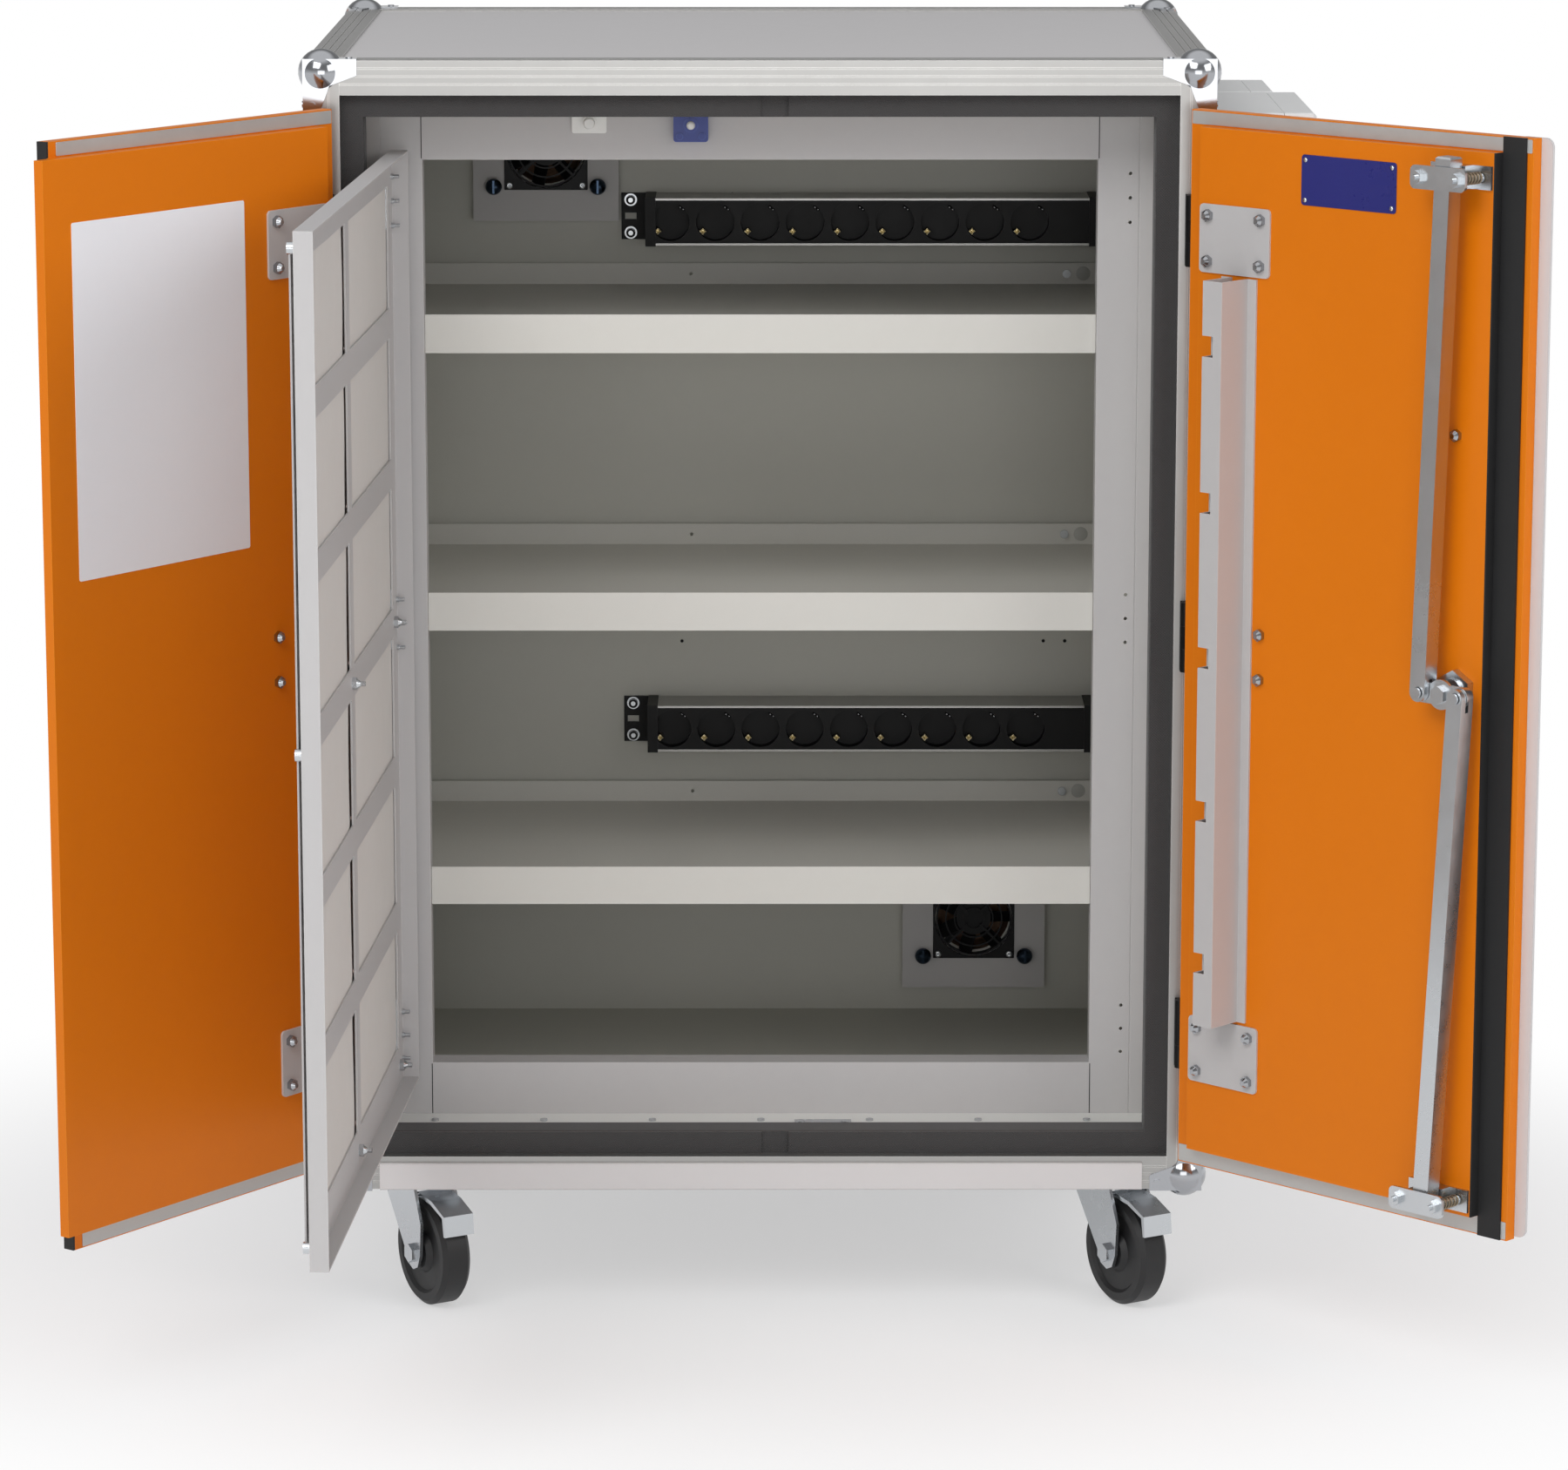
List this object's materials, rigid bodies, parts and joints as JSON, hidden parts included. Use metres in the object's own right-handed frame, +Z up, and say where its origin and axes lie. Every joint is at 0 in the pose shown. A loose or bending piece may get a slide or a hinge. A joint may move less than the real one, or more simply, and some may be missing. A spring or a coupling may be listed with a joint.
{
  "type": "battery cabinet",
  "caption": "Wheeled insulated cabinet with two swing doors, a filter door, three trays, socket strips and fans, for storing and charging batteries.",
  "frame": {"origin": "on the floor, in the middle of the cabinet's width, in the plane of its front face", "axes": "+X to the right as seen from the front, +Y backwards into the cabinet, +Z up"},
  "size_m": [1.259, 1.1533, 1.1615],
  "materials": {
    "aluminium": "anodised satin",
    "black_plastic": "fine matt",
    "black_rubber": "matt",
    "black_seal": "woven intumescent strip",
    "black_steel": "black powder coat",
    "black_tyre": "matt rubber",
    "blue_plastic": "satin",
    "blued_steel": "blued",
    "bright_chrome": "bright zinc",
    "core_board": "mineral-filled board",
    "filter_mat": "glass fleece",
    "grey_board": "satin laminate",
    "grey_paint": "light grey powder coat",
    "orange_board": "satin laminate",
    "white_plastic": "satin",
    "zinc_steel": "bright zinc"
  },
  "bodies": {
    "cabinet": {"ball_corners": "bright_chrome", "button_plate": "grey_paint", "castor_mounts": "zinc_steel", "edge_extrusions": "aluminium", "fan_knobs": "blued_steel", "fan_plates": "grey_paint", "fan_units": "black_plastic", "filter_hinges": "zinc_steel", "hinges_fixed": "black_steel", "inner_frame": "grey_paint", "limit_switch": "blue_plastic", "liner_box": "grey_paint", "seal_ring": "black_seal", "side_box": "grey_paint", "sill_fittings": "zinc_steel", "sill_plate": "grey_paint", "strip_bolts": "zinc_steel", "strip_faces": "black_plastic", "strip_rails": "aluminium", "top_board": "grey_board", "tray_lower": "grey_paint", "tray_middle": "grey_paint", "tray_upper": "grey_paint", "wall_boards": "grey_board", "wall_core": "core_board"},
    "left_door": {"left_skin": "orange_board", "left_core": "orange_board", "left_edge": "black_plastic", "left_plates": "grey_paint", "left_nuts": "zinc_steel", "left_hinges": "black_steel"},
    "right_door": {"right_skin": "orange_board", "right_core": "orange_board", "right_rubber": "black_rubber", "astragal": "grey_paint", "right_plates": "grey_paint", "right_nuts": "zinc_steel", "right_hinges": "black_steel", "lock_channel": "grey_paint", "lock_fixings": "zinc_steel"},
    "lock_lever": {"lever": "black_plastic", "cam": "zinc_steel"},
    "rod_upper": {"rod_upper": "zinc_steel"},
    "rod_lower": {"rod_lower": "zinc_steel"},
    "filter_door": {"filter_frame": "grey_paint", "filter_mats": "filter_mat", "filter_leaves": "zinc_steel", "filter_pins": "zinc_steel"},
    "fan_rotor_upper": {"rotor_upper": "black_plastic"},
    "fan_rotor_lower": {"rotor_lower": "black_plastic"},
    "push_button": {"button": "white_plastic"},
    "switch_plunger": {"limit_plunger": "white_plastic"},
    "fork_left": {"fork_left": "zinc_steel"},
    "fork_right": {"fork_right": "zinc_steel"},
    "pedal_left": {"pedal_left": "zinc_steel"},
    "pedal_right": {"pedal_right": "zinc_steel"},
    "wheel_front_left": {"wheel_front_left": "black_tyre"},
    "wheel_front_right": {"wheel_front_right": "black_tyre"},
    "wheel_rear_left": {"wheel_rear_left": "black_tyre"},
    "wheel_rear_right": {"wheel_rear_right": "black_tyre"}
  },
  "joints": [
    {"name": "left_door_hinge", "type": "hinge", "parent": "cabinet", "child": "left_door", "pos_m": [-0.381, -0.008, 0.64], "axis": [0, 0, -1], "range_deg": [-126.7, 5]},
    {"name": "right_door_hinge", "type": "hinge", "parent": "cabinet", "child": "right_door", "pos_m": [0.381, -0.008, 0.64], "axis": [0, 0, 1], "range_deg": [-135.6, 44.4]},
    {"name": "filter_door_hinge", "type": "hinge", "parent": "cabinet", "child": "filter_door", "pos_m": [-0.3225, 0.086, 0.637], "axis": [0, 0, -1], "range_deg": [-93.5, 3.8]},
    {"name": "lever_turn", "type": "hinge", "parent": "right_door", "child": "lock_lever", "pos_m": [0.57863, -0.27641, 0.639], "axis": [0.6997, 0.7145, 0], "range_deg": [0, 90]},
    {"name": "rod_upper_pivot", "type": "hinge", "parent": "lock_lever", "child": "rod_upper", "pos_m": [0.56434, -0.26242, 0.639], "axis": [0.6997, 0.7145, 0], "range_deg": [-93, 0]},
    {"name": "rod_lower_pivot", "type": "hinge", "parent": "lock_lever", "child": "rod_lower", "pos_m": [0.59292, -0.29041, 0.639], "axis": [0.6997, 0.7145, 0], "range_deg": [-93, 0]},
    {"name": "fan_upper_spin", "type": "hinge", "parent": "cabinet", "child": "fan_rotor_upper", "pos_m": [-0.207, 0.49, 1.026], "axis": [0, 1, 0], "continuous": true},
    {"name": "fan_lower_spin", "type": "hinge", "parent": "cabinet", "child": "fan_rotor_lower", "pos_m": [0.209, 0.49, 0.266], "axis": [0, 1, 0], "continuous": true},
    {"name": "button_press", "type": "slide", "parent": "cabinet", "child": "push_button", "axis": [0, 1, 0], "range_m": [0, 0.003], "stiffness_N_per_m": 250},
    {"name": "plunger_press", "type": "slide", "parent": "cabinet", "child": "switch_plunger", "axis": [0, 1, 0], "range_m": [0, 0.0025], "stiffness_N_per_m": 250},
    {"name": "swivel_left", "type": "hinge", "parent": "cabinet", "child": "fork_left", "pos_m": [-0.32, 0.095, 0.113], "axis": [0, 0, 1], "continuous": true},
    {"name": "wheel_front_left_spin", "type": "hinge", "parent": "fork_left", "child": "wheel_front_left", "pos_m": [-0.3025, 0.06469, 0.05], "axis": [0.866, 0.5, 0], "continuous": true},
    {"name": "pedal_left_press", "type": "hinge", "parent": "fork_left", "child": "pedal_left", "pos_m": [-0.30375, 0.06685, 0.1045], "axis": [-0.866, -0.5, 0], "range_deg": [0, 15]},
    {"name": "wheel_rear_left_spin", "type": "hinge", "parent": "cabinet", "child": "wheel_rear_left", "pos_m": [-0.32, 0.505, 0.05], "axis": [1, 0, 0], "continuous": true},
    {"name": "swivel_right", "type": "hinge", "parent": "cabinet", "child": "fork_right", "pos_m": [0.32, 0.095, 0.113], "axis": [0, 0, 1], "continuous": true},
    {"name": "wheel_front_right_spin", "type": "hinge", "parent": "fork_right", "child": "wheel_front_right", "pos_m": [0.3375, 0.06469, 0.05], "axis": [0.866, 0.5, 0], "continuous": true},
    {"name": "pedal_right_press", "type": "hinge", "parent": "fork_right", "child": "pedal_right", "pos_m": [0.33625, 0.06685, 0.1045], "axis": [-0.866, -0.5, 0], "range_deg": [0, 15]},
    {"name": "wheel_rear_right_spin", "type": "hinge", "parent": "cabinet", "child": "wheel_rear_right", "pos_m": [0.32, 0.505, 0.05], "axis": [1, 0, 0], "continuous": true}
  ],
  "couplings": [
    {"joint": "filter_door_hinge", "follows": "left_door_hinge", "ratio": 0.73717},
    {"joint": "rod_upper_pivot", "follows": "lever_turn", "ratio": -1.0288},
    {"joint": "rod_lower_pivot", "follows": "lever_turn", "ratio": -1.0287}
  ]
}
